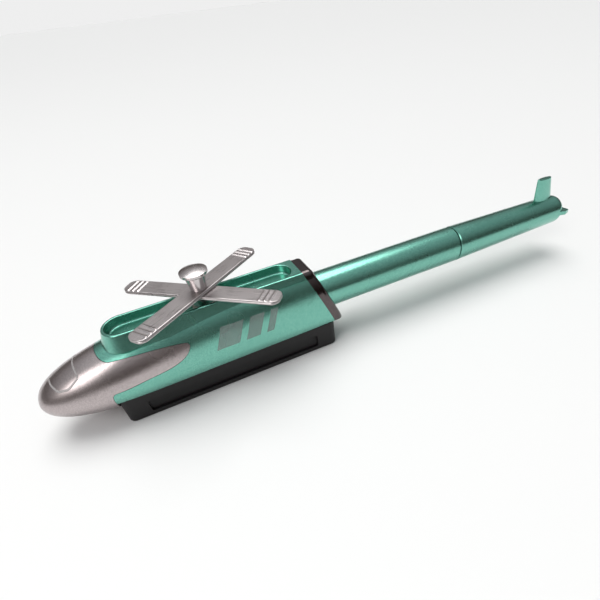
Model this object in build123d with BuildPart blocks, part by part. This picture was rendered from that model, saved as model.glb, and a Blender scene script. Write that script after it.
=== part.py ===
from build123d import *
import math
import os

# Toy helicopter, millimetres. +X points forward, +Y to port and +Z up. The origin is the middle of the
# skid's underside. A station is a distance behind the nose tip, and a level is a height above the boom axis.

# ---- overall sizes ----
overall_length = 150.0
axis_height = 12.5            # boom axis above the surface that the skid stands on
wall = 1.2                    # moulded shells
clearance = 0.1               # general gap between pieces of one body
running_fit = 0.05            # radial gap of a turning fit
moving_gap = 0.25             # gap between pieces that turn past each other
thread_clearance = 0.05       # radial gap round a screw or a pin
hole_margin = 0.5             # a blind hole is this much deeper than its screw or rivet
overcut = 1.0                 # a cut starts this far outside the piece
block_margin = 10.0           # a cutting block reaches this far past the piece
level_tolerance = 0.01        # for picking a face by its level
quarter_share = 1 - math.sqrt(0.5)   # where a quarter arc's middle lies, as a share of its radius

# ---- skid ----
skid_front_station = 14.6
skid_length = 53.2
skid_width = 14.3
skid_height = 7.1
skid_end_block = 5.4          # length of the proud block at each end
skid_side_recess = 0.6
skid_corner = 1.6
skid_wall = 2.0
skid_roof = 1.6
skid_foot_radius = 0.5
skid_inner_corner = 0.9
skid_panel_low = 1.3          # foot of the shallow side panel
skid_panel_height = 3.4
skid_panel_corner = 0.6
skid_post_diameter = 4.4
skid_cover_thickness = 1.8
cover_ledge = 0.8             # the cover laps this far over the skid's walls
cover_recess = 0.3            # the cover lies above the skid's foot

# ---- outer form of the body ----
waterline_level = -3.5        # level of the widest line of the section
half_width_front = 8.0
half_width_rear = 7.4
crown_height = 13.4           # full height of the section's upper half above the waterline
keel_depth = 6.2              # full depth of the section's lower half below the waterline
plan_taper_length = 25.0      # the plan closes over this length at the nose
crown_taper_length = 66.0
keel_taper_length = 18.0
plan_power = 2.6
crown_power = 2.05
keel_power = 2.4
body_cut_level = 6.9          # the form is cut flat here, under the deck
nose_section_steps = [0.13, 0.3, 0.45, 0.6, 0.74, 0.86, 0.95]    # shares of the plan's width
body_section_stations = [33.0, 41.0, 49.0, 57.0, 65.0]
section_overrun = 8.0         # the last section lies this far past the crown's end

# ---- seam between the nose and the fuselage ----
lip_station = 14.7
lip_level = 6.4
lip_radius = 2.4
cheek_front_station = 23.6
cheek_top_level = 3.8
cheek_tip_station = 33.2
cheek_tip_level = 2.3
cheek_tip_radius = 0.9
cheek_rise_station = 29.8
cheek_rise_level = -0.5
cheek_foot_level = -4.4
cheek_low_station = 23.0
cheek_low_level = -1.65
cheek_heel_station = 16.2
cheek_heel_level = -2.45
cheek_end_slope = 0.15        # the lobe's upper edge falls at this slope into its tip
cheek_tip_lean = 0.45         # the lobe's rear edge leaves its tip at this lean
seam_gap = 0.08

# ---- deck and its tray ----
deck_level = 8.6
deck_front_station = 17.8
deck_half_width = 3.95
deck_draft = 20.0
tray_rim = 0.65
tray_depth = 2.2
tray_rear_margin = 1.6
deck_foot_level = 5.0         # the deck's block starts this low, inside the body
deck_edge_radius = 0.3
tray_lip_radius = 0.22
tray_floor_radius = 0.5

# ---- rear collar ----
collar_station = 62.1         # front face of the collar at deck level
collar_rake = 22.0            # the collar leans back towards its foot
collar_length = 2.5
collar_edge_radius = 1.2      # rounding of the rear face's edge
collar_corner_radius = 1.4    # upper corners of the collar, rounder than the deck's

# ---- boom and tail cone ----
boom_diameter = 9.6
boom_wall = 1.0
boom_insertion = 9.0          # length of boom held inside the fuselage
groove_station = 108.6
groove_width = 0.35
tail_end_diameter = 8.1
tail_corner_radius = 2.4
tail_wall = 1.0
spigot_length = 16.0
spigot_wall = 2.1
spigot_plug = 9.0             # length inside the boom
spigot_chamfer = 0.3
groove_chamfer = 0.2          # broken edges on both sides of the ring groove
ring_section = 1.0            # rubber ring's own thickness
ring_stand = 0.03             # the rubber ring stands this far out of its groove
ring_spacing = 3.0
snap_ring_thickness = 0.7
snap_ring_margin = 1.5        # from the ring to the spigot's end
snap_ring_reach = 0.3         # the split ring stands this far out of its groove
snap_ring_split = 1.2
snap_groove_depth = 0.7
bore_end_gap = 0.6            # space past the spigot's end
bore_end_step = 0.6           # the tail's hollow is this much narrower than its bore

# ---- fin and stabiliser ----
fin_margin = 5.9              # from the fin's middle to the tail's end
fin_root_length = 7.6
fin_tip_length = 5.0
fin_tip_level = 10.6
fin_sweep = -2.2              # the tip lies this far behind the root, so forward if negative
fin_edge_radius = 0.2
fin_thickness = 2.0
fin_tip_thickness = 1.6
stub_margin = 3.8             # from the stub's front to the tail's end
stub_overhang = 1.0           # the stub's tip reaches past the tail's end
stub_root_span = 3.6
stub_tip_span = 4.7
stub_tip_length = 1.6
stub_tip_drop = 0.5           # the stub's rear corners are cut by this much
stub_thickness = 1.1

# ---- rotor ----
rotor_station = 39.4
rotor_radius = 18.9
blade_width = 4.7
blade_thickness = 0.8
blade_level = 9.5             # underside of the lower strip
lower_blade_angle = -41.0
upper_blade_angle = 36.0
knob_level = 15.7             # top of the knob
knob_diameter = 6.0
knob_rim = 0.6
knob_dome = 0.45
neck_top_diameter = 4.4
neck_foot_diameter = 3.6
mast_diameter = 2.0
hub_diameter = 4.6
washer_thickness = 0.3
washer_diameter = 5.2
bush_diameter = 4.0
bush_flange_diameter = 5.4
bush_flange = 0.6
clip_thickness = 0.5
clip_diameter = 4.4
clip_groove_depth = 0.35
mast_end = 0.9                # mast below the clip
knob_under = 0.5              # cone under the knob's rim
knob_edge_radius = 0.25
rivet_offset = 12.1           # tray rivets, in front of and behind the mast
rivet_diameter = 1.4
rivet_head = 0.25
rivet_shank_diameter = 0.9
rivet_bite = 1.6              # length of rivet in the frame's post
blade_tip_corner = 1.9
hub_chamfer = 0.3

# ---- inner frame, screws and pin ----
frame_front_station = 22.0
frame_width = 8.0
frame_beam_height = 3.9
frame_end_wall = 1.2          # closes the boom's socket in front
mast_tower_diameter = 6.4
rivet_post_diameter = 3.2
socket_wall = 0.55
mast_pocket_diameter = 5.2
mast_shelf = 1.4              # thickness of frame under the mast's bush
screw_diameter = 1.6
screw_head_diameter = 3.0
screw_head_height = 1.0
screw_slot = 0.5
screw_tip_chamfer = 0.4
skid_screw_offset = 7.9       # in front of and behind the mast
skid_screw_bite = 3.0         # length of screw in the frame
nose_boss_diameter = 3.8
nose_screw_bite = 4.0
nose_screw_wall = 2.0
nose_screw_access = 6.0       # length of the pocket behind the nose screw's seat
lock_pin_diameter = 1.2
lock_pin_station = 57.5

# ---- derived places ----
base_centre_station = skid_front_station + skid_length / 2
rotor_x = base_centre_station - rotor_station
deck_z = axis_height + deck_level
tray_z = deck_z - tray_depth
ceiling_z = tray_z - wall
waterline_z = axis_height + waterline_level
blade_z = axis_height + blade_level
blades_top_z = blade_z + 2 * blade_thickness
knob_z = axis_height + knob_level
flange_top_z = tray_z + bush_flange
washer_top_z = flange_top_z + washer_thickness
frame_floor_z = skid_height
beam_top_z = frame_floor_z + frame_beam_height
clip_z = beam_top_z - mast_shelf - running_fit - clip_thickness
mast_foot_z = clip_z - mast_end
boom_radius = boom_diameter / 2
bore_radius = boom_radius - boom_wall
mast_radius = mast_diameter / 2
boom_front_station = collar_station - boom_insertion
tail_end_station = overall_length - stub_overhang
fin_station = tail_end_station - fin_margin
stub_front_station = tail_end_station - stub_margin
cover_top_z = cover_recess + skid_cover_thickness
screw_seat_z = cover_recess + screw_head_height + clearance
far = 120.0                   # reach of the cutting blocks, past the whole body


def x_at(station):
    """Place along X of a station."""
    return base_centre_station - station


def across(station):
    """Plane across the boom axis at a station, looking forward, with its own X to port and Y up."""
    return Plane(origin=(x_at(station), 0, axis_height), x_dir=(0, 1, 0), z_dir=(1, 0, 0))


def side_point(station, level):
    """Point in the side plane from a station and a level."""
    return (x_at(station), axis_height + level)


side_plane = Plane(origin=(0, 0, 0), x_dir=(1, 0, 0), z_dir=(0, -1, 0))
boom_axis = Axis((0, 0, axis_height), (1, 0, 0))


def share(station, length, power):
    """Share of its full size that a profile has reached at a station."""
    left = max(0.0, 1.0 - station / length)
    return (1.0 - left ** power) ** (1.0 / power)


def form_section(station, inset):
    """Section of the body: a tall half ellipse over a shallow one, drawn in by the inset."""
    narrowing = max(0.0, station - plan_taper_length) / (crown_taper_length - plan_taper_length)
    full_width = half_width_front - (half_width_front - half_width_rear) * narrowing
    half_width = full_width * share(station, plan_taper_length, plan_power)
    crown = crown_height * share(station, crown_taper_length, crown_power)
    keel = keel_depth * share(station, keel_taper_length, keel_power)
    with BuildSketch(across(station + inset)) as section:
        with BuildLine():
            EllipticalCenterArc((0, waterline_level), half_width - inset, crown - inset, 0, arc_size=180)
            EllipticalCenterArc((0, waterline_level), half_width - inset, keel - inset, 180, arc_size=180)
        make_face()
    return section.sketch


def form_stations():
    """Stations of the sections, at even steps of the plan's width and then back along the body."""
    nose = [
        plan_taper_length * (1 - (1 - step ** plan_power) ** (1 / plan_power)) for step in nose_section_steps
    ]
    return nose + [plan_taper_length] + body_section_stations + [crown_taper_length + section_overrun]


def body_form(inset):
    """Solid of the body's outer form or, drawn in by a wall, of its hollow."""
    with BuildPart() as form:
        loft(sections=[form_section(station, inset) for station in form_stations() if station >= 2 * inset])
    return form.part


outer_form = body_form(0.0)
hollow_form = body_form(wall)


def nose_zone(gap):
    """Everything in front of the seam: over the lip, along the cheek lobe, and down to the skid."""
    front = x_at(-block_margin)
    lip = side_point(lip_station - gap, lip_level)
    cheek = side_point(cheek_front_station, cheek_top_level - gap)
    tip = side_point(cheek_tip_station - gap, cheek_tip_level)
    end = side_point(cheek_tip_station - cheek_tip_radius - gap, cheek_tip_level + cheek_tip_radius - gap)
    tip_middle = side_point(
        cheek_tip_station - quarter_share * cheek_tip_radius - gap,
        cheek_tip_level + (1 - quarter_share) * cheek_tip_radius - gap,
    )
    low = side_point(cheek_low_station, cheek_low_level + gap)
    rise = side_point(cheek_rise_station - gap, cheek_rise_level + gap)
    heel = side_point(cheek_heel_station - gap, cheek_heel_level + gap)
    foot = side_point(skid_front_station - gap, cheek_foot_level)
    with BuildPart() as zone:
        with BuildSketch(side_plane):
            with BuildLine():
                Line((front, far), (lip[0], far))
                Line((lip[0], far), lip)
                corner = (lip[0] - lip_radius, cheek[1])
                lip_middle = (
                    lip[0] - quarter_share * lip_radius, cheek[1] + quarter_share * (lip[1] - cheek[1])
                )
                ThreePointArc(lip, lip_middle, corner)
                Spline(corner, cheek, end, tangents=[(-1, 0), (-1, -cheek_end_slope)])
                ThreePointArc(end, tip_middle, tip)
                Spline(tip, rise, low, heel, foot, tangents=[(cheek_tip_lean, -1), (0, -1)])
                Line(foot, (foot[0], -far))
                Line((foot[0], -far), (front, -far))
                Line((front, -far), (front, far))
            make_face()
        extrude(amount=far, both=True)
    return zone.part


def raked_block(front_station, rear_station):
    """Slab across the body between two planes that lean back by the collar's rake."""
    with BuildPart() as slab:
        with BuildSketch(side_plane):
            lean = math.tan(math.radians(collar_rake))
            high = deck_z + block_margin
            low = -block_margin
            with BuildLine():
                Polyline(
                    (x_at(front_station) + (high - deck_z) * lean, high),
                    (x_at(rear_station) + (high - deck_z) * lean, high),
                    (x_at(rear_station) + (low - deck_z) * lean, low),
                    (x_at(front_station) + (low - deck_z) * lean, low),
                    close=True,
                )
            make_face()
        extrude(amount=far, both=True)
    return slab.part


def deck_block(edge_radius):
    """Long raised deck with a round front, sloping walls and a rounded top edge."""
    with BuildPart() as block:
        with BuildSketch(Plane.XY.offset(deck_z)):
            rear_x = x_at(collar_station + 2 * block_margin)
            round_x = x_at(deck_front_station + deck_half_width)
            right = (round_x, -deck_half_width)
            left = (round_x, deck_half_width)
            with BuildLine():
                Line((rear_x, -deck_half_width), right)
                RadiusArc(right, left, -deck_half_width)
                Line(left, (rear_x, deck_half_width))
                Line((rear_x, deck_half_width), (rear_x, -deck_half_width))
            make_face()
        extrude(amount=deck_foot_level - deck_level, taper=-deck_draft)
        top_edges = block.faces().sort_by(Axis.Z)[-1].edges().sort_by(Axis.X)[1:]
        fillet(top_edges, edge_radius)
    return block.part


def body_outside(edge_radius):
    """Full outside of the body: the form, cut flat under the deck, with the deck on it."""
    with BuildPart() as outside:
        add(outer_form)
        add(below(axis_height + body_cut_level), mode=Mode.INTERSECT)
        add(deck_block(edge_radius))
    return outside.part


def shaft(radius, low_z, high_z, x=0.0):
    """Upright round bar."""
    with BuildPart() as bar:
        with BuildSketch(Plane(origin=(x, 0, low_z))):
            Circle(radius)
        extrude(amount=high_z - low_z)
    return bar.part


def along_boom(radius, front_station, rear_station, level=0.0):
    """Round bar along the boom axis, or at another level."""
    with BuildPart() as bar:
        with BuildSketch(across(rear_station)):
            with Locations((0, level)):
                Circle(radius)
        extrude(amount=rear_station - front_station)
    return bar.part


def below(level_z):
    """Everything under a level."""
    with BuildPart() as block:
        with BuildSketch(Plane.XY.offset(level_z)):
            Rectangle(2 * far, 2 * far)
        extrude(amount=-far)
    return block.part


def above(level_z):
    """Everything over a level."""
    with BuildPart() as block:
        with BuildSketch(Plane.XY.offset(level_z)):
            Rectangle(2 * far, 2 * far)
        extrude(amount=far)
    return block.part


# ---- nose shell: dark plated nose with a cheek lobe along each flank, and a boss for its screw ----
with BuildPart() as nose_shell:
    add(outer_form)
    add(hollow_form, mode=Mode.SUBTRACT)
    add(along_boom(nose_boss_diameter / 2, wall, frame_front_station - clearance, waterline_level))
    add(nose_zone(seam_gap), mode=Mode.INTERSECT)
    add(
        along_boom(screw_diameter / 2 - thread_clearance,
                   frame_front_station - clearance - nose_screw_bite - hole_margin,
                   frame_front_station, waterline_level),
        mode=Mode.SUBTRACT,
    )

# ---- fuselage shell: green shell with its raised deck and tray, open below and behind ----
with BuildPart() as fuselage_hollow:
    add(hollow_form)
    add(below(ceiling_z), mode=Mode.INTERSECT)

with BuildPart() as fuselage_shell:
    add(body_outside(deck_edge_radius))
    add(fuselage_hollow.part, mode=Mode.SUBTRACT)
    add(nose_zone(0.0), mode=Mode.SUBTRACT)
    add(raked_block(-far, collar_station), mode=Mode.INTERSECT)
    add(above(skid_height), mode=Mode.INTERSECT)
    with BuildSketch(Plane.XY.offset(deck_z)):
        tray_front = x_at(deck_front_station + tray_rim)
        tray_rear = x_at(collar_station - tray_rear_margin)
        with Locations(((tray_front + tray_rear) / 2, 0)):
            SlotOverall(tray_front - tray_rear, 2 * (deck_half_width - tray_rim))
    extrude(amount=-tray_depth, mode=Mode.SUBTRACT)
    deck_wires = fuselage_shell.faces().filter_by(Axis.Z).sort_by(Axis.Z)[-1].inner_wires()
    fillet(deck_wires.edges(), tray_lip_radius)
    tray_floor = fuselage_shell.faces().filter_by_position(
        Axis.Z, tray_z - level_tolerance, tray_z + level_tolerance
    )[0]
    fillet(tray_floor.edges(), tray_floor_radius)
    add(shaft(bush_diameter / 2, ceiling_z - overcut, tray_z + overcut, rotor_x), mode=Mode.SUBTRACT)
    for side in (-1, 1):
        rivet_x = rotor_x + side * rivet_offset
        add(shaft(rivet_diameter / 2, ceiling_z - overcut, tray_z + overcut, rivet_x), mode=Mode.SUBTRACT)

# ---- rear collar: dark plated ring that closes the back of the body ----
with BuildPart() as rear_collar:
    add(body_outside(collar_corner_radius))
    add(raked_block(collar_station, collar_station + collar_length), mode=Mode.INTERSECT)
    add(above(skid_height), mode=Mode.INTERSECT)
    rear_face = rear_collar.faces().sort_by(lambda face: face.normal_at().X)[0]
    fillet(rear_face.edges().sort_by(Axis.Z)[1:], collar_edge_radius)
    add(along_boom(boom_radius, collar_station - block_margin, collar_station + 2 * block_margin),
        mode=Mode.SUBTRACT)

# ---- inner frame: moulded beam with the mast tower, rivet posts and the boom's socket ----
with BuildPart() as inner_frame:
    beam_front = x_at(frame_front_station)
    beam_rear = x_at(collar_station - clearance)
    with BuildSketch(Plane.XY.offset(frame_floor_z)):
        with Locations(((beam_front + beam_rear) / 2, 0)):
            Rectangle(beam_front - beam_rear, frame_width)
    extrude(amount=frame_beam_height)
    add(shaft(mast_tower_diameter / 2, frame_floor_z, ceiling_z - clearance, rotor_x))
    add(shaft(rivet_post_diameter / 2, frame_floor_z, ceiling_z - clearance, rotor_x + rivet_offset))
    add(shaft(rivet_post_diameter / 2, frame_floor_z, ceiling_z - clearance, rotor_x - rivet_offset))
    add(along_boom(boom_radius + socket_wall, boom_front_station - frame_end_wall,
                   collar_station - clearance))
    add(below(ceiling_z - clearance), mode=Mode.INTERSECT)
    add(above(frame_floor_z), mode=Mode.INTERSECT)
    add(raked_block(-far, collar_station - clearance), mode=Mode.INTERSECT)
    add(along_boom(boom_radius, boom_front_station, collar_station + 2 * block_margin), mode=Mode.SUBTRACT)
    add(shaft(bush_diameter / 2, frame_floor_z, ceiling_z + overcut, rotor_x), mode=Mode.SUBTRACT)
    add(shaft(mast_pocket_diameter / 2, frame_floor_z, beam_top_z - mast_shelf, rotor_x), mode=Mode.SUBTRACT)
    for side in (-1, 1):
        rivet_x = rotor_x + side * rivet_offset
        add(shaft(rivet_shank_diameter / 2, ceiling_z - rivet_bite - hole_margin, ceiling_z + overcut, rivet_x),
            mode=Mode.SUBTRACT)
        screw_x = rotor_x + side * skid_screw_offset
        add(shaft(screw_diameter / 2, frame_floor_z, frame_floor_z + skid_screw_bite + hole_margin, screw_x),
            mode=Mode.SUBTRACT)
    add(
        along_boom(screw_diameter / 2, frame_front_station - overcut,
                   frame_front_station + nose_screw_wall + hole_margin, waterline_level),
        mode=Mode.SUBTRACT,
    )
    add(
        along_boom(screw_head_diameter / 2 + clearance, frame_front_station + nose_screw_wall,
                   frame_front_station + nose_screw_wall + nose_screw_access, waterline_level),
        mode=Mode.SUBTRACT,
    )
    with BuildSketch(Plane.XZ.offset(-far)):
        with Locations((x_at(lock_pin_station), axis_height)):
            Circle(lock_pin_diameter / 2)
    extrude(amount=2 * far, mode=Mode.SUBTRACT)


def screw(plane, length):
    """Self-tapping screw: slotted pan head under the plane, shank along the plane's normal."""
    with BuildPart() as body:
        with BuildSketch(plane):
            Circle(screw_head_diameter / 2)
        extrude(amount=-screw_head_height)
        with BuildSketch(plane):
            Circle(screw_diameter / 2)
        extrude(amount=length)
        tip = body.faces().sort_by(Axis(plane.origin, plane.z_dir))[-1]
        chamfer(tip.edges(), screw_tip_chamfer)
        slot_plane = plane.offset(-screw_head_height)
        with BuildSketch(slot_plane):
            Rectangle(screw_slot, screw_head_diameter + overcut)
        extrude(amount=screw_head_height / 2, mode=Mode.SUBTRACT)
    return body.part


# ---- nose screw: through the frame's front wall into the nose's boss ----
nose_screw_seat = Plane(
    origin=(x_at(frame_front_station + nose_screw_wall), 0, waterline_z), x_dir=(0, 1, 0), z_dir=(1, 0, 0)
)
with BuildPart() as nose_screw:
    add(screw(nose_screw_seat, nose_screw_wall + nose_screw_bite))

# ---- tray rivets: two small pins that hold the tray's floor to the frame ----
with BuildPart() as tray_rivets:
    for side in (-1, 1):
        rivet_x = rotor_x + side * rivet_offset
        add(shaft(rivet_shank_diameter / 2, ceiling_z - rivet_bite, tray_z, rivet_x))
        add(shaft(rivet_diameter / 2, ceiling_z, tray_z + rivet_head, rivet_x))

# ---- skid: long black block with proud ends, hollow, and its screwed cover ----
with BuildPart() as skid_base:
    with BuildSketch(Plane.XY):
        RectangleRounded(skid_length, skid_width, skid_corner)
    extrude(amount=skid_height - seam_gap)
    fillet(skid_base.faces().sort_by(Axis.Z)[0].edges(), skid_foot_radius)
    panel_length = skid_length - 2 * skid_end_block
    for side in (-1, 1):
        with BuildSketch(Plane.XZ.offset(-side * skid_width / 2)):
            with Locations((0, skid_panel_low + skid_panel_height / 2)):
                RectangleRounded(panel_length, skid_panel_height, skid_panel_corner)
        extrude(amount=side * skid_side_recess, mode=Mode.SUBTRACT)
    with BuildSketch(Plane.XY.offset(-overcut)):
        RectangleRounded(skid_length - 2 * skid_wall, skid_width - 2 * skid_wall, skid_inner_corner)
    extrude(amount=skid_height - skid_roof + overcut, mode=Mode.SUBTRACT)
    with BuildSketch(Plane.XY.offset(-overcut)):
        RectangleRounded(
            skid_length - 2 * skid_wall + 2 * cover_ledge, skid_width - 2 * skid_wall + 2 * cover_ledge,
            skid_inner_corner,
        )
    extrude(amount=overcut + cover_top_z, mode=Mode.SUBTRACT)
    for side in (-1, 1):
        screw_x = rotor_x + side * skid_screw_offset
        add(shaft(skid_post_diameter / 2, cover_top_z, skid_height - skid_roof, screw_x))
        add(shaft(screw_diameter / 2 + thread_clearance, 0, skid_height, screw_x), mode=Mode.SUBTRACT)

# ---- skid cover: flat plate set into the skid's underside, with two counterbores ----
with BuildPart() as skid_cover:
    with BuildSketch(Plane.XY.offset(cover_recess)):
        RectangleRounded(
            skid_length - 2 * skid_wall + 2 * cover_ledge - 2 * clearance,
            skid_width - 2 * skid_wall + 2 * cover_ledge - 2 * clearance,
            skid_inner_corner - clearance,
        )
    extrude(amount=skid_cover_thickness)
    for side in (-1, 1):
        screw_x = rotor_x + side * skid_screw_offset
        add(shaft(screw_head_diameter / 2 + clearance, 0, screw_seat_z, screw_x), mode=Mode.SUBTRACT)
        add(shaft(screw_diameter / 2 + thread_clearance, 0, skid_height, screw_x), mode=Mode.SUBTRACT)

# ---- skid screws: two screws through the cover and the skid into the frame ----
with BuildPart() as skid_screws:
    for side in (-1, 1):
        seat = Plane(origin=(rotor_x + side * skid_screw_offset, 0, screw_seat_z), z_dir=(0, 0, 1))
        add(screw(seat, skid_height - screw_seat_z + skid_screw_bite))

# ---- tail boom: plain tube held in the frame's socket by a cross pin ----
with BuildPart() as tail_boom:
    add(along_boom(boom_radius, boom_front_station, groove_station))
    chamfer(tail_boom.edges().sort_by(Axis.X)[0], groove_chamfer)
    add(along_boom(bore_radius, boom_front_station - overcut, groove_station + overcut), mode=Mode.SUBTRACT)
    with BuildSketch(Plane.XZ.offset(-far)):
        with Locations((x_at(lock_pin_station), axis_height)):
            Circle(lock_pin_diameter / 2)
    extrude(amount=2 * far, mode=Mode.SUBTRACT)

# ---- boom lock pin: cross pin through the frame's socket and the boom ----
with BuildPart() as boom_lock_pin:
    pin_half = boom_radius + socket_wall
    with BuildSketch(Plane.XZ.offset(-pin_half)):
        with Locations((x_at(lock_pin_station), axis_height)):
            Circle(lock_pin_diameter / 2)
    extrude(amount=2 * pin_half)

# ---- boom spigot: plugged into the boom, and the bearing that the tail cone turns on ----
spigot_end_station = groove_station + spigot_length
ring_groove_front = spigot_end_station - snap_ring_margin - snap_ring_thickness - ring_spacing
snap_groove_front = spigot_end_station - snap_ring_margin - snap_ring_thickness
with BuildPart() as boom_spigot:
    add(along_boom(bore_radius, groove_station - spigot_plug, spigot_end_station))
    chamfer(boom_spigot.edges().sort_by(Axis.X)[0], spigot_chamfer)
    add(
        along_boom(bore_radius - spigot_wall, groove_station - spigot_plug - overcut,
                   spigot_end_station + overcut),
        mode=Mode.SUBTRACT,
    )
    with BuildSketch(side_plane):
        with Locations((x_at(ring_groove_front + ring_section / 2), axis_height + bore_radius)):
            Rectangle(ring_section, 2 * (ring_section - ring_stand))
        with Locations((x_at(snap_groove_front + snap_ring_thickness / 2), axis_height + bore_radius)):
            Rectangle(snap_ring_thickness, 2 * snap_groove_depth)
    revolve(axis=boom_axis, mode=Mode.SUBTRACT)

# ---- friction ring: rubber ring that keeps the tail cone from turning on its own ----
with BuildPart() as friction_ring:
    with BuildSketch(side_plane):
        ring_level = bore_radius + ring_stand - ring_section / 2
        with Locations((x_at(ring_groove_front + ring_section / 2), axis_height + ring_level)):
            Circle(ring_section / 2)
    revolve(axis=boom_axis)

# ---- tail snap ring: split ring that keeps the tail cone on its spigot ----
with BuildPart() as tail_snap_ring:
    with BuildSketch(side_plane):
        ring_x = x_at(snap_groove_front + snap_ring_thickness / 2)
        ring_low = bore_radius - snap_groove_depth
        ring_high = bore_radius + snap_ring_reach
        with Locations((ring_x, axis_height + (ring_low + ring_high) / 2)):
            Rectangle(snap_ring_thickness, ring_high - ring_low)
    revolve(axis=boom_axis)
    with BuildSketch(across(snap_groove_front)):
        with Locations((0, -ring_high)):
            Rectangle(snap_ring_split, 2 * ring_high)
    extrude(amount=far, both=True, mode=Mode.SUBTRACT)

# ---- tail cone: tapered shell with the fin and the small stabiliser moulded on ----
cone_front_station = groove_station + groove_width
cone_bore = bore_radius + running_fit
with BuildPart() as tail_cone:
    with BuildSketch(side_plane):
        with BuildLine():
            front_low = (x_at(cone_front_station), axis_height)
            front_high = (x_at(cone_front_station), axis_height + boom_radius)
            shoulder = (x_at(tail_end_station - tail_corner_radius), axis_height + tail_end_diameter / 2)
            end_high = (x_at(tail_end_station), axis_height + tail_end_diameter / 2 - tail_corner_radius)
            end_low = (x_at(tail_end_station), axis_height)
            Line(front_low, front_high)
            Line(front_high, shoulder)
            RadiusArc(shoulder, end_high, -tail_corner_radius)
            Line(end_high, end_low)
            Line(end_low, front_low)
        make_face()
    revolve(axis=boom_axis)
    front_ring = tail_cone.edges().filter_by(GeomType.CIRCLE).sort_by(Axis.X)[-1]
    chamfer(front_ring, groove_chamfer)
    with BuildSketch(Plane.XY.offset(axis_height)):
        with Locations((x_at(fin_station), 0)):
            Ellipse(fin_root_length / 2, fin_thickness / 2)
    with BuildSketch(Plane.XY.offset(axis_height + fin_tip_level)):
        with Locations((x_at(fin_station + fin_sweep), 0)):
            Ellipse(fin_tip_length / 2, fin_tip_thickness / 2)
    loft()
    fin_top = tail_cone.faces().sort_by(Axis.Z)[-1]
    fillet(fin_top.edges(), fin_edge_radius)
    with BuildSketch(Plane.XY.offset(axis_height - stub_thickness / 2)):
        with BuildLine():
            Polyline(
                (x_at(stub_front_station), 0),
                (x_at(stub_front_station), stub_root_span),
                (x_at(overall_length - stub_tip_length), stub_tip_span),
                (x_at(overall_length), stub_tip_span - stub_tip_drop),
                (x_at(overall_length - stub_tip_drop), 0),
                close=True,
            )
        make_face()
    extrude(amount=stub_thickness)
    add(along_boom(cone_bore, cone_front_station - overcut, spigot_end_station + bore_end_gap),
        mode=Mode.SUBTRACT)
    with BuildSketch(side_plane):
        with Locations((x_at(snap_groove_front + snap_ring_thickness / 2), axis_height + cone_bore)):
            Rectangle(snap_ring_thickness + 2 * moving_gap, 2 * (snap_ring_reach + running_fit))
    revolve(axis=boom_axis, mode=Mode.SUBTRACT)
    with BuildSketch(across(spigot_end_station + bore_end_gap)):
        Circle(cone_bore - bore_end_step)
    with BuildSketch(across(tail_end_station - 2 * tail_wall)):
        Circle(tail_end_diameter / 2 - 2 * tail_wall)
    loft(mode=Mode.SUBTRACT)

# ---- mast bush: flanged sleeve in the tray's floor and the frame's tower ----
with BuildPart() as mast_bush:
    add(shaft(bush_diameter / 2, beam_top_z - mast_shelf, tray_z, rotor_x))
    add(shaft(bush_flange_diameter / 2, tray_z, flange_top_z, rotor_x))
    add(shaft(mast_radius + running_fit, 0, far, rotor_x), mode=Mode.SUBTRACT)

# ---- thrust washer: thin ring that the rotor turns on ----
with BuildPart() as thrust_washer:
    add(shaft(washer_diameter / 2, flange_top_z, washer_top_z, rotor_x))
    add(shaft(mast_radius + running_fit, 0, far, rotor_x), mode=Mode.SUBTRACT)

# ---- rotor hub: turned sleeve between the washer and the blades ----
with BuildPart() as rotor_hub:
    add(shaft(hub_diameter / 2, washer_top_z + running_fit, blade_z, rotor_x))
    chamfer(rotor_hub.edges(), hub_chamfer)
    add(shaft(mast_radius, 0, far, rotor_x), mode=Mode.SUBTRACT)


def blade_strip(angle, low_z):
    """One flat strip with two blades, rounded at both ends, with a hole for the mast."""
    with BuildPart() as strip:
        with BuildSketch(Plane(origin=(rotor_x, 0, low_z))):
            with Locations(Location((0, 0), angle)):
                RectangleRounded(2 * rotor_radius, blade_width, blade_tip_corner)
            Circle(mast_radius, mode=Mode.SUBTRACT)
        extrude(amount=blade_thickness)
    return strip.part


# ---- rotor blades: two stamped strips, one lying on the other, clamped under the mast's neck ----
with BuildPart() as lower_blades:
    add(blade_strip(lower_blade_angle, blade_z))

with BuildPart() as upper_blades:
    add(blade_strip(upper_blade_angle, blade_z + blade_thickness))

# ---- rotor mast: turned shaft with a flared neck and a mushroom knob on top ----
with BuildPart() as rotor_mast:
    with BuildSketch(Plane(origin=(rotor_x, 0, 0), x_dir=(1, 0, 0), z_dir=(0, -1, 0))):
        rim_low = knob_z - knob_dome - knob_rim
        neck_foot = blades_top_z
        with BuildLine():
            dome_start = (0, knob_z)
            dome_end = (knob_diameter / 2, knob_z - knob_dome)
            dome_mid = (knob_diameter / 4, knob_z - knob_dome / 4)
            ThreePointArc(dome_start, dome_mid, dome_end)
            Polyline(
                dome_end,
                (knob_diameter / 2, rim_low),
                (neck_top_diameter / 2, rim_low - knob_under),
                (neck_foot_diameter / 2, neck_foot),
                (mast_radius, neck_foot),
                (mast_radius, clip_z + clip_thickness),
                (mast_radius - clip_groove_depth, clip_z + clip_thickness),
                (mast_radius - clip_groove_depth, clip_z),
                (mast_radius, clip_z),
                (mast_radius, mast_foot_z),
                (0, mast_foot_z),
                dome_start,
            )
        make_face()
    revolve(axis=Axis((rotor_x, 0, 0), (0, 0, 1)))
    rim_edges = rotor_mast.edges().filter_by(GeomType.CIRCLE).sort_by(SortBy.RADIUS)[-2:]
    fillet(rim_edges, knob_edge_radius)

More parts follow.
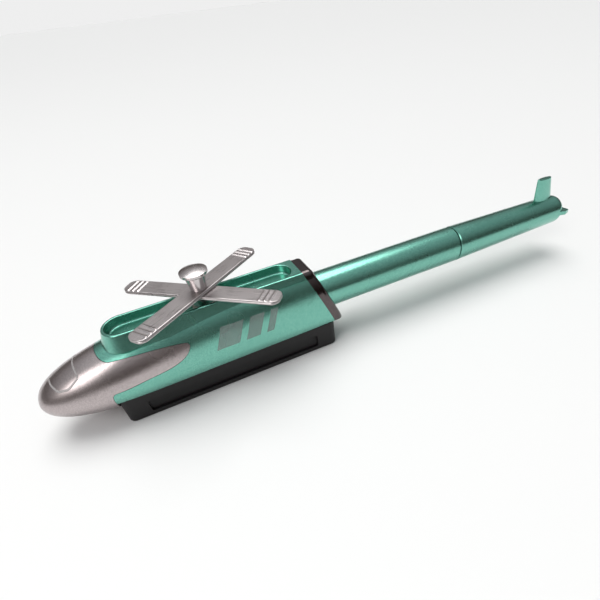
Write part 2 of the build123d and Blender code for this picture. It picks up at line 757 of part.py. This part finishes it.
# ---- mast clip: spring clip that keeps the mast from lifting out ----
with BuildPart() as mast_clip:
    with BuildSketch(Plane(origin=(rotor_x, 0, clip_z))):
        Circle(clip_diameter / 2)
        Circle(mast_radius - clip_groove_depth, mode=Mode.SUBTRACT)
        with Locations((clip_diameter / 2, 0)):
            Rectangle(clip_diameter, 2 * (mast_radius - clip_groove_depth), mode=Mode.SUBTRACT)
    extrude(amount=clip_thickness)

pieces = {
    "nose_shell": nose_shell,
    "fuselage_shell": fuselage_shell,
    "rear_collar": rear_collar,
    "inner_frame": inner_frame,
    "nose_screw": nose_screw,
    "tray_rivets": tray_rivets,
    "skid_base": skid_base,
    "skid_cover": skid_cover,
    "skid_screws": skid_screws,
    "tail_boom": tail_boom,
    "boom_lock_pin": boom_lock_pin,
    "boom_spigot": boom_spigot,
    "friction_ring": friction_ring,
    "tail_snap_ring": tail_snap_ring,
    "tail_cone": tail_cone,
    "mast_bush": mast_bush,
    "thrust_washer": thrust_washer,
    "rotor_hub": rotor_hub,
    "lower_blades": lower_blades,
    "upper_blades": upper_blades,
    "rotor_mast": rotor_mast,
    "mast_clip": mast_clip,
}

os.makedirs("parts", exist_ok=True)
for name, piece in pieces.items():
    piece.part.label = name
    export_step(piece.part, f"parts/{name}.step")
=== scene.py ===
import math

import bpy
import numpy as np
from mathutils import Matrix, Vector


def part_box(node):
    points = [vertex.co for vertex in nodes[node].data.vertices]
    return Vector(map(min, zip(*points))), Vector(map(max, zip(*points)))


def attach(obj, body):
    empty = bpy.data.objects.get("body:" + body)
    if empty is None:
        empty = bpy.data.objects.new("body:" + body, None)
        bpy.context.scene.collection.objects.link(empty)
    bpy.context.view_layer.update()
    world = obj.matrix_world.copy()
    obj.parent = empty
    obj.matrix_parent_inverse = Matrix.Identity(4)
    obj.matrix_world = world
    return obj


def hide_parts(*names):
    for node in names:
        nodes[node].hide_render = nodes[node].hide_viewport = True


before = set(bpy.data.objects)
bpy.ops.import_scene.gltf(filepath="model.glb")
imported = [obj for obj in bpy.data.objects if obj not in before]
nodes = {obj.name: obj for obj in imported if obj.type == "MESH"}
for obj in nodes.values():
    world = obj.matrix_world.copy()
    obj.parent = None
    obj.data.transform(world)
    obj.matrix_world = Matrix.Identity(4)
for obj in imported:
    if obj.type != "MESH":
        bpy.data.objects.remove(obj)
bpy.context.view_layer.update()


# ---- skid ----
# The toy stands on one long block of satin black plastic with proud ends and a shallow side panel.
# It is injection moulded in a spark-eroded tool, which leaves a fine even grain. The cover plate that
# closes it from below is moulded in the same plastic and held by two screws.

def new_group(name, inputs, outputs):
    """Empty shader group. Inputs are (name, default) pairs of values, outputs are (name, kind) pairs."""
    group = bpy.data.node_groups.new(name, "ShaderNodeTree")
    for label, default in inputs:
        socket = group.interface.new_socket(name=label, in_out="INPUT", socket_type="NodeSocketFloat")
        socket.default_value = default
    for label, kind in outputs:
        group.interface.new_socket(name=label, in_out="OUTPUT", socket_type=kind)
    return group, group.nodes.new("NodeGroupInput"), group.nodes.new("NodeGroupOutput")


def math_node(tree, operation, first, second):
    """Math node on two numbers or sockets. Returns its output."""
    node = tree.nodes.new("ShaderNodeMath")
    node.operation = operation
    for socket, value in zip(node.inputs, (first, second)):
        if isinstance(value, (int, float)):
            socket.default_value = value
        else:
            tree.links.new(value, socket)
    return node.outputs[0]


def grain_group():
    """Moulded grain: fine noise on Object coordinates for the height, and slow noise for the tone."""
    group, given, out = new_group(
        "moulded_grain", [("Grains per Metre", 4000.0), ("Depth", 1.0)],
        [("Height", "NodeSocketFloat"), ("Tone", "NodeSocketFloat")],
    )
    place = group.nodes.new("ShaderNodeTexCoord")
    fine = group.nodes.new("ShaderNodeTexNoise")
    fine.inputs["Detail"].default_value = 3.0
    group.links.new(place.outputs["Object"], fine.inputs["Vector"])
    group.links.new(given.outputs["Grains per Metre"], fine.inputs["Scale"])
    slow = group.nodes.new("ShaderNodeTexNoise")
    slow.inputs["Scale"].default_value = 90.0
    slow.inputs["Detail"].default_value = 4.0
    group.links.new(place.outputs["Object"], slow.inputs["Vector"])
    group.links.new(math_node(group, "MULTIPLY", fine.outputs[0], given.outputs["Depth"]),
                    out.inputs["Height"])
    group.links.new(slow.outputs[0], out.inputs["Tone"])
    return group


def finish_material(name, group, settings, height_strength, height_metres):
    """Material with one effect group in it. Returns the material, its tree, shader and group node."""
    material = bpy.data.materials.new(name)
    material.use_nodes = True
    tree = material.node_tree
    shader = tree.nodes["Principled BSDF"]
    effect = tree.nodes.new("ShaderNodeGroup")
    effect.node_tree = group
    for label, value in settings.items():
        effect.inputs[label].default_value = value
    bump = tree.nodes.new("ShaderNodeBump")
    bump.inputs["Strength"].default_value = height_strength
    bump.inputs["Distance"].default_value = height_metres
    tree.links.new(effect.outputs["Height"], bump.inputs["Height"])
    tree.links.new(bump.outputs["Normal"], shader.inputs["Normal"])
    return material, tree, shader, effect


def spread(tree, source, low, high):
    """Maps the middle of a 0 to 1 value, where noise mostly lies, to a range of numbers."""
    node = tree.nodes.new("ShaderNodeMapRange")
    node.inputs["From Min"].default_value = 0.3
    node.inputs["From Max"].default_value = 0.7
    node.inputs["To Min"].default_value = low
    node.inputs["To Max"].default_value = high
    tree.links.new(source, node.inputs["Value"])
    return node.outputs[0]


def blend_colours(tree, source, dark, light):
    """Colour between two colours by a 0 to 1 value."""
    node = tree.nodes.new("ShaderNodeMix")
    node.data_type = "RGBA"
    node.inputs["A"].default_value = (*dark, 1.0)
    node.inputs["B"].default_value = (*light, 1.0)
    tree.links.new(spread(tree, source, 0.0, 1.0), node.inputs["Factor"])
    return node.outputs["Result"]


def moulded_plastic(name, dark, light, roughness, grains_per_metre, grain_depth):
    """Moulded plastic: two close tones, and roughness and bump from the grain."""
    material, tree, shader, effect = finish_material(
        name, moulded_grain, {"Grains per Metre": grains_per_metre}, 0.35, grain_depth
    )
    tree.links.new(blend_colours(tree, effect.outputs["Tone"], dark, light), shader.inputs["Base Color"])
    tree.links.new(spread(tree, effect.outputs["Tone"], *roughness), shader.inputs["Roughness"])
    shader.inputs["IOR"].default_value = 1.5
    return material


def put_on(material, *names):
    """Puts a material on the slots of CAD nodes."""
    for name in names:
        for slot in nodes[name].material_slots:
            slot.material = material


moulded_grain = grain_group()
skid_plastic = moulded_plastic("satin_black_plastic", (0.006, 0.005, 0.0055), (0.011, 0.0095, 0.0105),
                               (0.40, 0.50), 3500.0, 0.00004)
skid_plastic.node_tree.nodes["Principled BSDF"].inputs["Specular IOR Level"].default_value = 0.35
put_on(skid_plastic, "skid_base")
cover_plastic = moulded_plastic("cover_plastic", (0.014, 0.013, 0.014), (0.020, 0.019, 0.020), (0.48, 0.58),
                                5000.0, 0.00006)
put_on(cover_plastic, "skid_cover")

# ---- screws, pin, clips ----
# Small bought-in steel fasteners: two skid screws, the nose screw, the boom's cross pin, the tail's
# split ring and the mast's clip. They are bright zinc plated, a little cloudy, with turning marks.


def turned_group():
    """Turned metal: fine rings across the upright axis, broken up by slow clouds."""
    group, given, out = new_group(
        "turned_marks", [("Rings per Metre", 9000.0), ("Cloud Size", 300.0)],
        [("Height", "NodeSocketFloat"), ("Tone", "NodeSocketFloat")],
    )
    place = group.nodes.new("ShaderNodeTexCoord")
    rings = group.nodes.new("ShaderNodeTexNoise")
    rings.noise_dimensions = "1D"
    rings.inputs["Detail"].default_value = 2.0
    parts = group.nodes.new("ShaderNodeSeparateXYZ")
    group.links.new(place.outputs["Object"], parts.inputs[0])
    group.links.new(parts.outputs["Z"], rings.inputs["W"])
    group.links.new(given.outputs["Rings per Metre"], rings.inputs["Scale"])
    clouds = group.nodes.new("ShaderNodeTexNoise")
    clouds.inputs["Detail"].default_value = 5.0
    group.links.new(place.outputs["Object"], clouds.inputs["Vector"])
    group.links.new(given.outputs["Cloud Size"], clouds.inputs["Scale"])
    group.links.new(rings.outputs[0], out.inputs["Height"])
    group.links.new(clouds.outputs[0], out.inputs["Tone"])
    return group


def turned_metal(name, dark, light, roughness, rings_per_metre, ring_depth):
    """Turned metal: colour and roughness from the clouds, bump from the rings."""
    material, tree, shader, effect = finish_material(
        name, turned_marks, {"Rings per Metre": rings_per_metre}, 0.25, ring_depth
    )
    tree.links.new(blend_colours(tree, effect.outputs["Tone"], dark, light), shader.inputs["Base Color"])
    tree.links.new(spread(tree, effect.outputs["Tone"], *roughness), shader.inputs["Roughness"])
    shader.inputs["Metallic"].default_value = 1.0
    return material


turned_marks = turned_group()
zinc = turned_metal("zinc_plated_steel", (0.46, 0.45, 0.43), (0.60, 0.60, 0.60), (0.24, 0.38), 7000.0,
                    0.00003)
put_on(zinc, "nose_screw", "skid_screws", "boom_lock_pin", "tail_snap_ring", "mast_clip")

# ---- inner frame and boom spigot ----
# Unpainted moulded plastic that is never seen when the toy is whole: the beam that carries the mast's
# tower, and the tube that joins the boom to the tail. The rubber ring on the spigot gives drag.
inner_plastic = moulded_plastic("inner_plastic", (0.07, 0.07, 0.07), (0.11, 0.11, 0.11), (0.45, 0.6), 2500.0,
                                0.00006)
put_on(inner_plastic, "inner_frame", "boom_spigot")
rubber = moulded_plastic("ring_rubber", (0.012, 0.012, 0.012), (0.025, 0.025, 0.025), (0.7, 0.85),
                         3000.0, 0.00008)
put_on(rubber, "friction_ring")

# ---- fuselage, boom, tail cone and tray rivets ----
# Moulded shells with a candy green finish: a bright vacuum-plated base under a tinted clear lacquer.
# Fine metal flakes lie in the lacquer, and its surface has a slight orange peel.


def lacquer_group():
    """Candy lacquer: flakes as cells with a tone each, and orange peel as soft noise."""
    group, given, out = new_group(
        "candy_lacquer", [("Flakes per Metre", 9000.0), ("Peel per Metre", 650.0)],
        [("Height", "NodeSocketFloat"), ("Flake", "NodeSocketFloat"), ("Tone", "NodeSocketFloat")],
    )
    place = group.nodes.new("ShaderNodeTexCoord")
    flakes = group.nodes.new("ShaderNodeTexVoronoi")
    group.links.new(place.outputs["Object"], flakes.inputs["Vector"])
    group.links.new(given.outputs["Flakes per Metre"], flakes.inputs["Scale"])
    cell = group.nodes.new("ShaderNodeSeparateColor")
    group.links.new(flakes.outputs["Color"], cell.inputs[0])
    peel = group.nodes.new("ShaderNodeTexNoise")
    peel.inputs["Detail"].default_value = 1.0
    group.links.new(place.outputs["Object"], peel.inputs["Vector"])
    group.links.new(given.outputs["Peel per Metre"], peel.inputs["Scale"])
    clouds = group.nodes.new("ShaderNodeTexNoise")
    clouds.inputs["Scale"].default_value = 60.0
    clouds.inputs["Detail"].default_value = 3.0
    group.links.new(place.outputs["Object"], clouds.inputs["Vector"])
    group.links.new(peel.outputs[0], out.inputs["Height"])
    group.links.new(cell.outputs[0], out.inputs["Flake"])
    group.links.new(clouds.outputs[0], out.inputs["Tone"])
    return group


def plated_lacquer(name, deep, pale, roughness, coat):
    """Plated finish: flakes vary the tint between two colours, clouds vary the roughness."""
    material, tree, shader, effect = finish_material(name, candy_lacquer, {}, 0.10, 0.00003)
    tree.links.new(blend_colours(tree, effect.outputs["Flake"], deep, pale), shader.inputs["Base Color"])
    tree.links.new(spread(tree, effect.outputs["Tone"], *roughness), shader.inputs["Roughness"])
    shader.inputs["Metallic"].default_value = 1.0
    shader.inputs["Coat Weight"].default_value = coat
    shader.inputs["Coat Roughness"].default_value = 0.14
    return material


candy_lacquer = lacquer_group()
candy_green = plated_lacquer("candy_green_lacquer", (0.145, 0.415, 0.335), (0.225, 0.54, 0.44),
                             (0.24, 0.30), 0.25)
put_on(candy_green, "fuselage_shell", "tail_boom", "tail_cone", "tray_rivets")

# ---- nose shell ----
# The nose and its two cheek lobes are one moulding, plated dark silver over black plastic.
# It covers the front of the fuselage, and a fine line is left between them.
dark_silver = plated_lacquer("dark_silver_plating", (0.42, 0.37, 0.37), (0.54, 0.48, 0.48), (0.25, 0.32),
                             0.15)
put_on(dark_silver, "nose_shell")

# ---- rear collar ----
# A raked ring that closes the back of the fuselage round the boom. It is moulded apart from the
# shell and plated in black chrome, with its rear edge rounded.
black_chrome = plated_lacquer("black_chrome", (0.085, 0.070, 0.070), (0.13, 0.105, 0.105), (0.10, 0.18), 0.3)
put_on(black_chrome, "rear_collar")

# ---- mast bush and thrust washer ----
# The flanged sleeve that the mast runs in, and the thin ring that the hub turns on.
# Both are turned from a rod of natural acetal, which needs no oil.
acetal = moulded_plastic("natural_acetal", (0.62, 0.60, 0.55), (0.74, 0.72, 0.67), (0.32, 0.45), 6000.0,
                         0.00003)
put_on(acetal, "mast_bush", "thrust_washer")

# ---- mast, knob and hub ----
# The mast is turned from steel bar in one piece with its flared neck and mushroom knob, and polished.
# The hub is a short sleeve of the same steel under the blades.
polished_steel = turned_metal("polished_steel", (0.52, 0.48, 0.48), (0.66, 0.62, 0.62), (0.20, 0.28), 9000.0,
                              0.00001)
put_on(polished_steel, "rotor_mast", "rotor_hub")

# ---- rotor blades ----
# Two strips stamped from steel sheet, one lying on the other, with rounded ends. Three ribs are pressed
# up across each end, and the sheet keeps the fine lines of its brushing along each strip.


def strip_points(middle, angle, low, high, length, width, corner, edge, ribs):
    """Grid of points of one strip, rows along its length and columns round its section.

    The half width is constant and then follows a quarter circle of the corner's radius at each end. The
    section is a flat bar whose edges are half rounds, written as a rounded rectangle by its direction
    angle. The last rows draw the thickness in along the same rounding. Ribs lift the upper side by half a
    cosine wave across each rib's width, and fade out at the strip's long edges.
    """
    half_length, half_width, half_thick = length / 2, width / 2, (high - low) / 2
    rounding_start = half_length - corner
    rounding = rounding_start + corner * np.sin(np.linspace(0, math.pi / 2, 28))
    middle_part = np.linspace(-rounding_start, rounding_start, 290)[1:-1]
    along = np.concatenate([-rounding[::-1], middle_part, rounding])
    past = np.clip(np.abs(along) - rounding_start, 0, corner)
    outline = half_width - corner + np.sqrt(corner ** 2 - past ** 2)
    into_edge = np.clip(np.abs(along) - (half_length - edge), 0, edge)
    inset = edge - np.sqrt(edge ** 2 - into_edge ** 2)

    quarter = np.linspace(0, math.pi / 2, 6)
    out, rise = np.cos(quarter), np.sin(quarter)
    spans = np.linspace(1, -1, 41)[1:-1]
    edges, flat = np.ones_like(out), np.zeros_like(spans)
    side = np.concatenate([edges, spans, -edges, -edges, -spans, edges])
    round_across = np.concatenate([out, flat, -out[::-1], -out, flat, out[::-1]])
    round_up = np.concatenate([rise, flat + 1, rise[::-1], -rise, flat - 1, -rise[::-1]])
    across = side[None] * (outline - edge)[:, None] + round_across[None] * edge
    up = np.sign(round_up)[None] * (half_thick - edge) + round_up[None] * (edge - inset)[:, None]

    first, pitch, rib_width, rib_height = ribs
    wave = np.zeros_like(along)
    for count in range(3):
        centre = half_length - first - count * pitch
        off = np.abs(np.abs(along) - centre) / (rib_width / 2)
        wave += np.where(off < 1, 0.5 + 0.5 * np.cos(np.pi * np.clip(off, 0, 1)), 0)
    fade = np.clip((outline[:, None] - np.abs(across)) / (2 * edge), 0, 1)
    up = up + np.where(round_up > 0.99, wave[:, None] * rib_height * fade, 0)

    cos, sin = math.cos(angle), math.sin(angle)
    lengthwise = along[:, None] + 0 * across
    points = np.stack([middle[0] + cos * lengthwise - sin * across,
                       middle[1] + sin * lengthwise + cos * across,
                       (low + high) / 2 + up], axis=-1)
    return points, lengthwise, across


def grid_mesh(name, points, looped):
    """Closed mesh from a grid of points, whose columns run round a section and close on themselves.

    The outward side is the column direction crossed with the row direction. The rows either close on
    themselves too, or end in a cap at each end.
    """
    rows, columns = points.shape[:2]
    index = np.arange(rows * columns).reshape(rows, columns)
    ring = np.concatenate([index, index[:, :1]], axis=1)
    if looped:
        ring = np.concatenate([ring, ring[:1]])
    quads = np.stack([ring[:-1, :-1], ring[:-1, 1:], ring[1:, 1:], ring[1:, :-1]], axis=-1).reshape(-1, 4)
    faces = quads.tolist()
    if not looped:
        faces += [index[0, ::-1].tolist(), index[-1].tolist()]
    mesh = bpy.data.meshes.new(name)
    mesh.from_pydata(points.reshape(-1, 3).tolist(), [], faces)
    mesh.polygons.foreach_set("use_smooth", np.ones(len(faces), bool))
    piece = bpy.data.objects.new(name, mesh)
    bpy.context.scene.collection.objects.link(piece)
    return piece


def along_attribute(piece, lengthwise, across):
    """Stores each point's place along and across its strip, for brushing that follows the strip."""
    store = piece.data.attributes.new("strip_place", "FLOAT_VECTOR", "POINT")
    place = np.stack([lengthwise, across, 0 * across], axis=-1)
    store.data.foreach_set("vector", place.astype(np.float32).ravel())


def brushed_group():
    """Brushed sheet: noise drawn out along the strip for the lines, and slow noise for the tone."""
    group, given, out = new_group(
        "brushed_sheet", [("Lines per Metre", 9000.0), ("Line Length", 0.02)],
        [("Height", "NodeSocketFloat"), ("Tone", "NodeSocketFloat")],
    )
    place = group.nodes.new("ShaderNodeAttribute")
    place.attribute_name = "strip_place"
    parts = group.nodes.new("ShaderNodeSeparateXYZ")
    group.links.new(place.outputs["Vector"], parts.inputs[0])
    drawn = group.nodes.new("ShaderNodeCombineXYZ")
    group.links.new(math_node(group, "MULTIPLY", parts.outputs["X"], given.outputs["Line Length"]),
                    drawn.inputs["X"])
    group.links.new(parts.outputs["Y"], drawn.inputs["Y"])
    lines = group.nodes.new("ShaderNodeTexNoise")
    lines.inputs["Detail"].default_value = 3.0
    group.links.new(drawn.outputs[0], lines.inputs["Vector"])
    group.links.new(given.outputs["Lines per Metre"], lines.inputs["Scale"])
    clouds = group.nodes.new("ShaderNodeTexNoise")
    clouds.inputs["Scale"].default_value = 220.0
    clouds.inputs["Detail"].default_value = 4.0
    group.links.new(place.outputs["Vector"], clouds.inputs["Vector"])
    tone = math_node(group, "ADD", math_node(group, "MULTIPLY", lines.outputs[0], 0.7),
                     math_node(group, "MULTIPLY", clouds.outputs[0], 0.3))
    group.links.new(lines.outputs[0], out.inputs["Height"])
    group.links.new(tone, out.inputs["Tone"])
    return group


brushed_sheet = brushed_group()
blade_steel, tree, shader, effect = finish_material("brushed_blade_steel", brushed_sheet, {}, 0.35, 0.00002)
tree.links.new(blend_colours(tree, effect.outputs["Tone"], (0.50, 0.46, 0.46), (0.60, 0.56, 0.56)),
               shader.inputs["Base Color"])
tree.links.new(spread(tree, effect.outputs["Tone"], 0.24, 0.36), shader.inputs["Roughness"])
shader.inputs["Metallic"].default_value = 1.0

mast_low, mast_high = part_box("rotor_mast")
mast_middle = ((mast_low.x + mast_high.x) / 2, (mast_low.y + mast_high.y) / 2)
strip_length = 0.0378
strip_width = 0.0047
strip_corner = 0.0019
strip_edge = 0.00018
rib_sizes = (0.0017, 0.00125, 0.0008, 0.00016)    # first rib from the end, pitch, width and height
strip_degrees = {"lower_blades": -41.0, "upper_blades": 36.0}
for node, degrees in strip_degrees.items():
    low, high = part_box(node)
    points, lengthwise, across = strip_points(mast_middle, math.radians(degrees), low.z, high.z, strip_length,
                                              strip_width, strip_corner, strip_edge, rib_sizes)
    strip = grid_mesh(node + "_pressed", points, False)
    along_attribute(strip, lengthwise, across)
    strip.data.materials.append(blade_steel)
    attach(strip, "rotor")
    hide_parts(node)

# ---- windscreen line ----
# A fine pale line printed on the nose in the outline of a windscreen, with a bowed front edge.
# It follows the body's form: a tall half ellipse at each distance behind the nose tip, which reaches
# its full width and then its full height further back.

nose_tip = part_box("nose_shell")[1].x
boom_low, boom_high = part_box("tail_boom")
waterline_drop = 0.0035           # the body's widest line lies this far under the boom's axis
waterline = (boom_low.z + boom_high.z) / 2 - waterline_drop
half_width_front = 0.0080
half_width_rear = 0.0074
crown_height = 0.0134
width_run = 0.025                 # distance behind the nose tip at which the body is at its widest
crown_run = 0.066                 # distance behind the nose tip at which the crown is at its highest


def body_share(station, length, power):
    """Share of its full size that the body's outline has reached at a distance behind the nose tip."""
    left = np.clip(1 - station / length, 0, 1)
    return (1 - left ** power) ** (1 / power)


def body_size(station):
    """Half width and crown height of the body at a distance behind the nose tip."""
    narrowing = np.clip(station - width_run, 0, 1) / (crown_run - width_run)
    full_width = half_width_front - (half_width_front - half_width_rear) * narrowing
    half_width = full_width * body_share(station, width_run, 2.6)
    return half_width, crown_height * body_share(station, crown_run, 2.05)


def crown_point(station, sideways, lift):
    """Point on the body's upper side from its distance behind the nose and its place to port.

    The section is a half ellipse, so the height follows from the place to port. The lift moves the point
    out along the ellipse's normal.
    """
    half_width, crown = body_size(station)
    share = np.clip(sideways / half_width, -1, 1)
    height = crown * np.sqrt(1 - share ** 2)
    normal = np.stack([0 * share, share / half_width, np.sqrt(1 - share ** 2) / crown], axis=-1)
    normal /= np.linalg.norm(normal, axis=-1, keepdims=True)
    place = np.stack([nose_tip - station, sideways, waterline + height], axis=-1)
    return place + normal * lift


def printed_band(name, stations, sides, width, lift):
    """Band of ink along a closed line on the body: across its width on top, and back underneath."""
    line = np.stack([stations, sides], axis=-1)
    step = np.roll(line, -1, axis=0) - np.roll(line, 1, axis=0)
    step /= np.linalg.norm(step, axis=1, keepdims=True)
    normal = np.stack([-step[:, 1], step[:, 0]], axis=-1)
    spans = np.linspace(-0.5, 0.5, 5) * width
    offsets = np.concatenate([spans, spans[::-1]])
    lifts = np.repeat([lift, lift / 4], len(spans))[None, :, None]
    grid = line[:, None] + normal[:, None] * offsets[None, :, None]
    return grid_mesh(name, crown_point(grid[..., 0], grid[..., 1], lifts), True)


def rounded_line(corners, radius, count):
    """Closed line through corners, drawn in smoothly by averaging it with itself along its length."""
    corners = np.array(corners)
    closed = np.concatenate([corners, corners[:1]])
    length = np.concatenate([[0], np.cumsum(np.linalg.norm(np.diff(closed, axis=0), axis=1))])
    even = np.linspace(0, length[-1], count, endpoint=False)
    line = np.stack([np.interp(even, length, closed[:, k]) for k in (0, 1)], axis=-1)
    reach = max(1, int(radius / (length[-1] / count)))
    return sum(np.roll(line, shift, axis=0) for shift in range(-reach, reach + 1)) / (2 * reach + 1)


pale_print = moulded_plastic("pale_print", (0.42, 0.40, 0.40), (0.54, 0.52, 0.52), (0.28, 0.4), 6000.0,
                             0.00002)
pale_print.node_tree.nodes["Principled BSDF"].inputs["Alpha"].default_value = 0.65
ink_lift = 0.00003
line_width = 0.00034
screen = rounded_line([(0.0042, 0.0), (0.0045, 0.002), (0.0056, 0.0042), (0.0078, 0.0050), (0.0104, 0.0044),
                       (0.0100, 0.002), (0.0099, 0.0), (0.0100, -0.002), (0.0104, -0.0044), (0.0078, -0.0050),
                       (0.0056, -0.0042), (0.0045, -0.002)], 0.0006, 240)
windscreen = printed_band("windscreen_line", screen[:, 0], screen[:, 1], line_width, ink_lift)
windscreen.data.materials.append(pale_print)
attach(windscreen, "airframe")

# ---- flank flash ----
# Three slanted bars printed on each flank, the longest in front. The ink is a thin clear grey, so the
# lacquer shows through it.

flash_print = moulded_plastic("thin_grey_print", (0.34, 0.42, 0.40), (0.44, 0.52, 0.50), (0.25, 0.35), 6000.0,
                              0.00002)
flash_print.node_tree.nodes["Principled BSDF"].inputs["Alpha"].default_value = 0.35


def flank_point(station, height, side, lift):
    """Point on the body's flank from its distance behind the nose and its height over the waterline."""
    half_width, crown = body_size(station)
    up = height / crown
    normal = np.stack([0 * up, np.sqrt(1 - up ** 2) / half_width, up / crown], axis=-1)
    normal /= np.linalg.norm(normal, axis=-1, keepdims=True)
    place = np.stack([nose_tip - station, half_width * np.sqrt(1 - up ** 2), waterline + height], axis=-1)
    place = place + normal * lift
    place[..., 1] *= side
    return place


flash_foot = 0.0025               # heights over the waterline
flash_top = 0.0073
flash_slant = 0.0024
flash_lift = 0.00002
flash_sizes = ((0.0380, 0.0054), (0.0450, 0.0034), (0.0500, 0.0018))    # distance behind the nose, length


def flash_bar(name, front, length, side):
    """One slanted bar: rows climb the flank, and columns run along its outside and back underneath."""
    spans = np.linspace(0, 1, 24)[::side]
    climb, run = np.meshgrid(np.linspace(0, 1, 24), np.concatenate([spans, spans[::-1]]), indexing="ij")
    lifts = np.repeat([flash_lift, flash_lift / 4], len(spans))[None, :, None]
    station = front + run * length + climb * flash_slant
    height = flash_foot + climb * (flash_top - flash_foot)
    bar = grid_mesh(name, flank_point(station, height, side, lifts), False)
    bar.data.materials.append(flash_print)
    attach(bar, "airframe")


for side, label in ((1, "port"), (-1, "starboard")):
    for count, (front, length) in enumerate(flash_sizes, start=1):
        flash_bar(f"flash_{label}_{count}", front, length, side)

# ---- floor, light and camera ----
# A wide pale table top under one broad soft light from above and a low fill. The room is dark at eye
# level and pale overhead, which gives the plated surfaces their dark band.

floor_size = 16.0
floor_mesh = bpy.data.meshes.new("floor")
reach = floor_size / 2
floor_mesh.from_pydata([(-reach, -reach, 0), (reach, -reach, 0), (reach, reach, 0), (-reach, reach, 0)], [],
                       [(0, 1, 2, 3)])
floor = bpy.data.objects.new("floor", floor_mesh)
bpy.context.scene.collection.objects.link(floor)
floor_paint = bpy.data.materials.new("pale_floor")
floor_paint.use_nodes = True
floor_shader = floor_paint.node_tree.nodes["Principled BSDF"]
floor_shader.inputs["Base Color"].default_value = (0.86, 0.86, 0.86, 1)
floor_shader.inputs["Roughness"].default_value = 0.75
floor_mesh.materials.append(floor_paint)


def soft_lamp(name, place, target, size, watts, colour):
    """Square area lamp at a place, turned to a target."""
    data = bpy.data.lights.new(name, "AREA")
    data.shape = "SQUARE"
    data.size = size
    data.energy = watts
    data.color = colour
    lamp = bpy.data.objects.new(name, data)
    lamp.location = place
    lamp.rotation_euler = (Vector(target) - Vector(place)).to_track_quat("-Z", "Y").to_euler()
    bpy.context.scene.collection.objects.link(lamp)


soft_lamp("front_fill", (0.55, 0.35, 0.55), (0, 0, 0.01), 0.35, 1.6, (1.0, 0.98, 0.96))

overhead_data = bpy.data.lights.new("overhead", "SUN")
overhead_data.energy = 2.0
overhead_data.angle = math.radians(50)
overhead_data.color = (1.0, 0.99, 0.97)
overhead = bpy.data.objects.new("overhead", overhead_data)
overhead.rotation_euler = Vector((0.05, 0.25, -0.75)).to_track_quat("-Z", "Y").to_euler()
bpy.context.scene.collection.objects.link(overhead)

world = bpy.data.worlds.new("room")
bpy.context.scene.world = world
world.use_nodes = True
room = world.node_tree
direction = room.nodes.new("ShaderNodeTexCoord")
height = room.nodes.new("ShaderNodeSeparateXYZ")
ramp = room.nodes.new("ShaderNodeValToRGB")
room.links.new(direction.outputs["Generated"], height.inputs[0])
room.links.new(height.outputs["Z"], ramp.inputs[0])
seen = room.nodes.new("ShaderNodeLightPath")
backdrop = room.nodes.new("ShaderNodeMix")
backdrop.data_type = "RGBA"
backdrop.inputs["B"].default_value = (0.86, 0.86, 0.86, 1)
room.links.new(seen.outputs["Is Camera Ray"], backdrop.inputs["Factor"])
room.links.new(ramp.outputs[0], backdrop.inputs["A"])
room.links.new(backdrop.outputs["Result"], room.nodes["Background"].inputs["Color"])
shades = ramp.color_ramp.elements
shades[0].position = 0.0
shades[0].color = (0.050, 0.034, 0.030, 1)
shades[1].position = 1.0
shades[1].color = (0.62, 0.66, 0.68, 1)
for position, colour in ((0.18, (0.075, 0.060, 0.052, 1)), (0.45, (0.26, 0.25, 0.25, 1))):
    shades.new(position).color = colour

camera_data = bpy.data.cameras.new("camera")
camera_data.lens = 23.75
camera_data.sensor_width = 36.0
camera_data.shift_x = -0.0473
camera_data.shift_y = 0.1004
camera_data.clip_start = 0.001
camera = bpy.data.objects.new("camera", camera_data)
camera_place = (0.0060, 0.0801, 0.0682)
azimuth, elevation, roll = math.radians(158.06), math.radians(42.97), math.radians(6.92)
back = Vector((math.sin(azimuth) * math.cos(elevation), -math.cos(azimuth) * math.cos(elevation),
               math.sin(elevation)))
level_right = Vector((math.cos(azimuth), math.sin(azimuth), 0))
level_up = back.cross(level_right)
right = level_right * math.cos(roll) - level_up * math.sin(roll)
up = level_right * math.sin(roll) + level_up * math.cos(roll)
turned = Matrix((right, up, back)).transposed().to_4x4()
camera.matrix_world = Matrix.Translation(camera_place) @ turned
bpy.context.scene.collection.objects.link(camera)
bpy.context.scene.camera = camera
bpy.context.scene.view_settings.view_transform = "Standard"
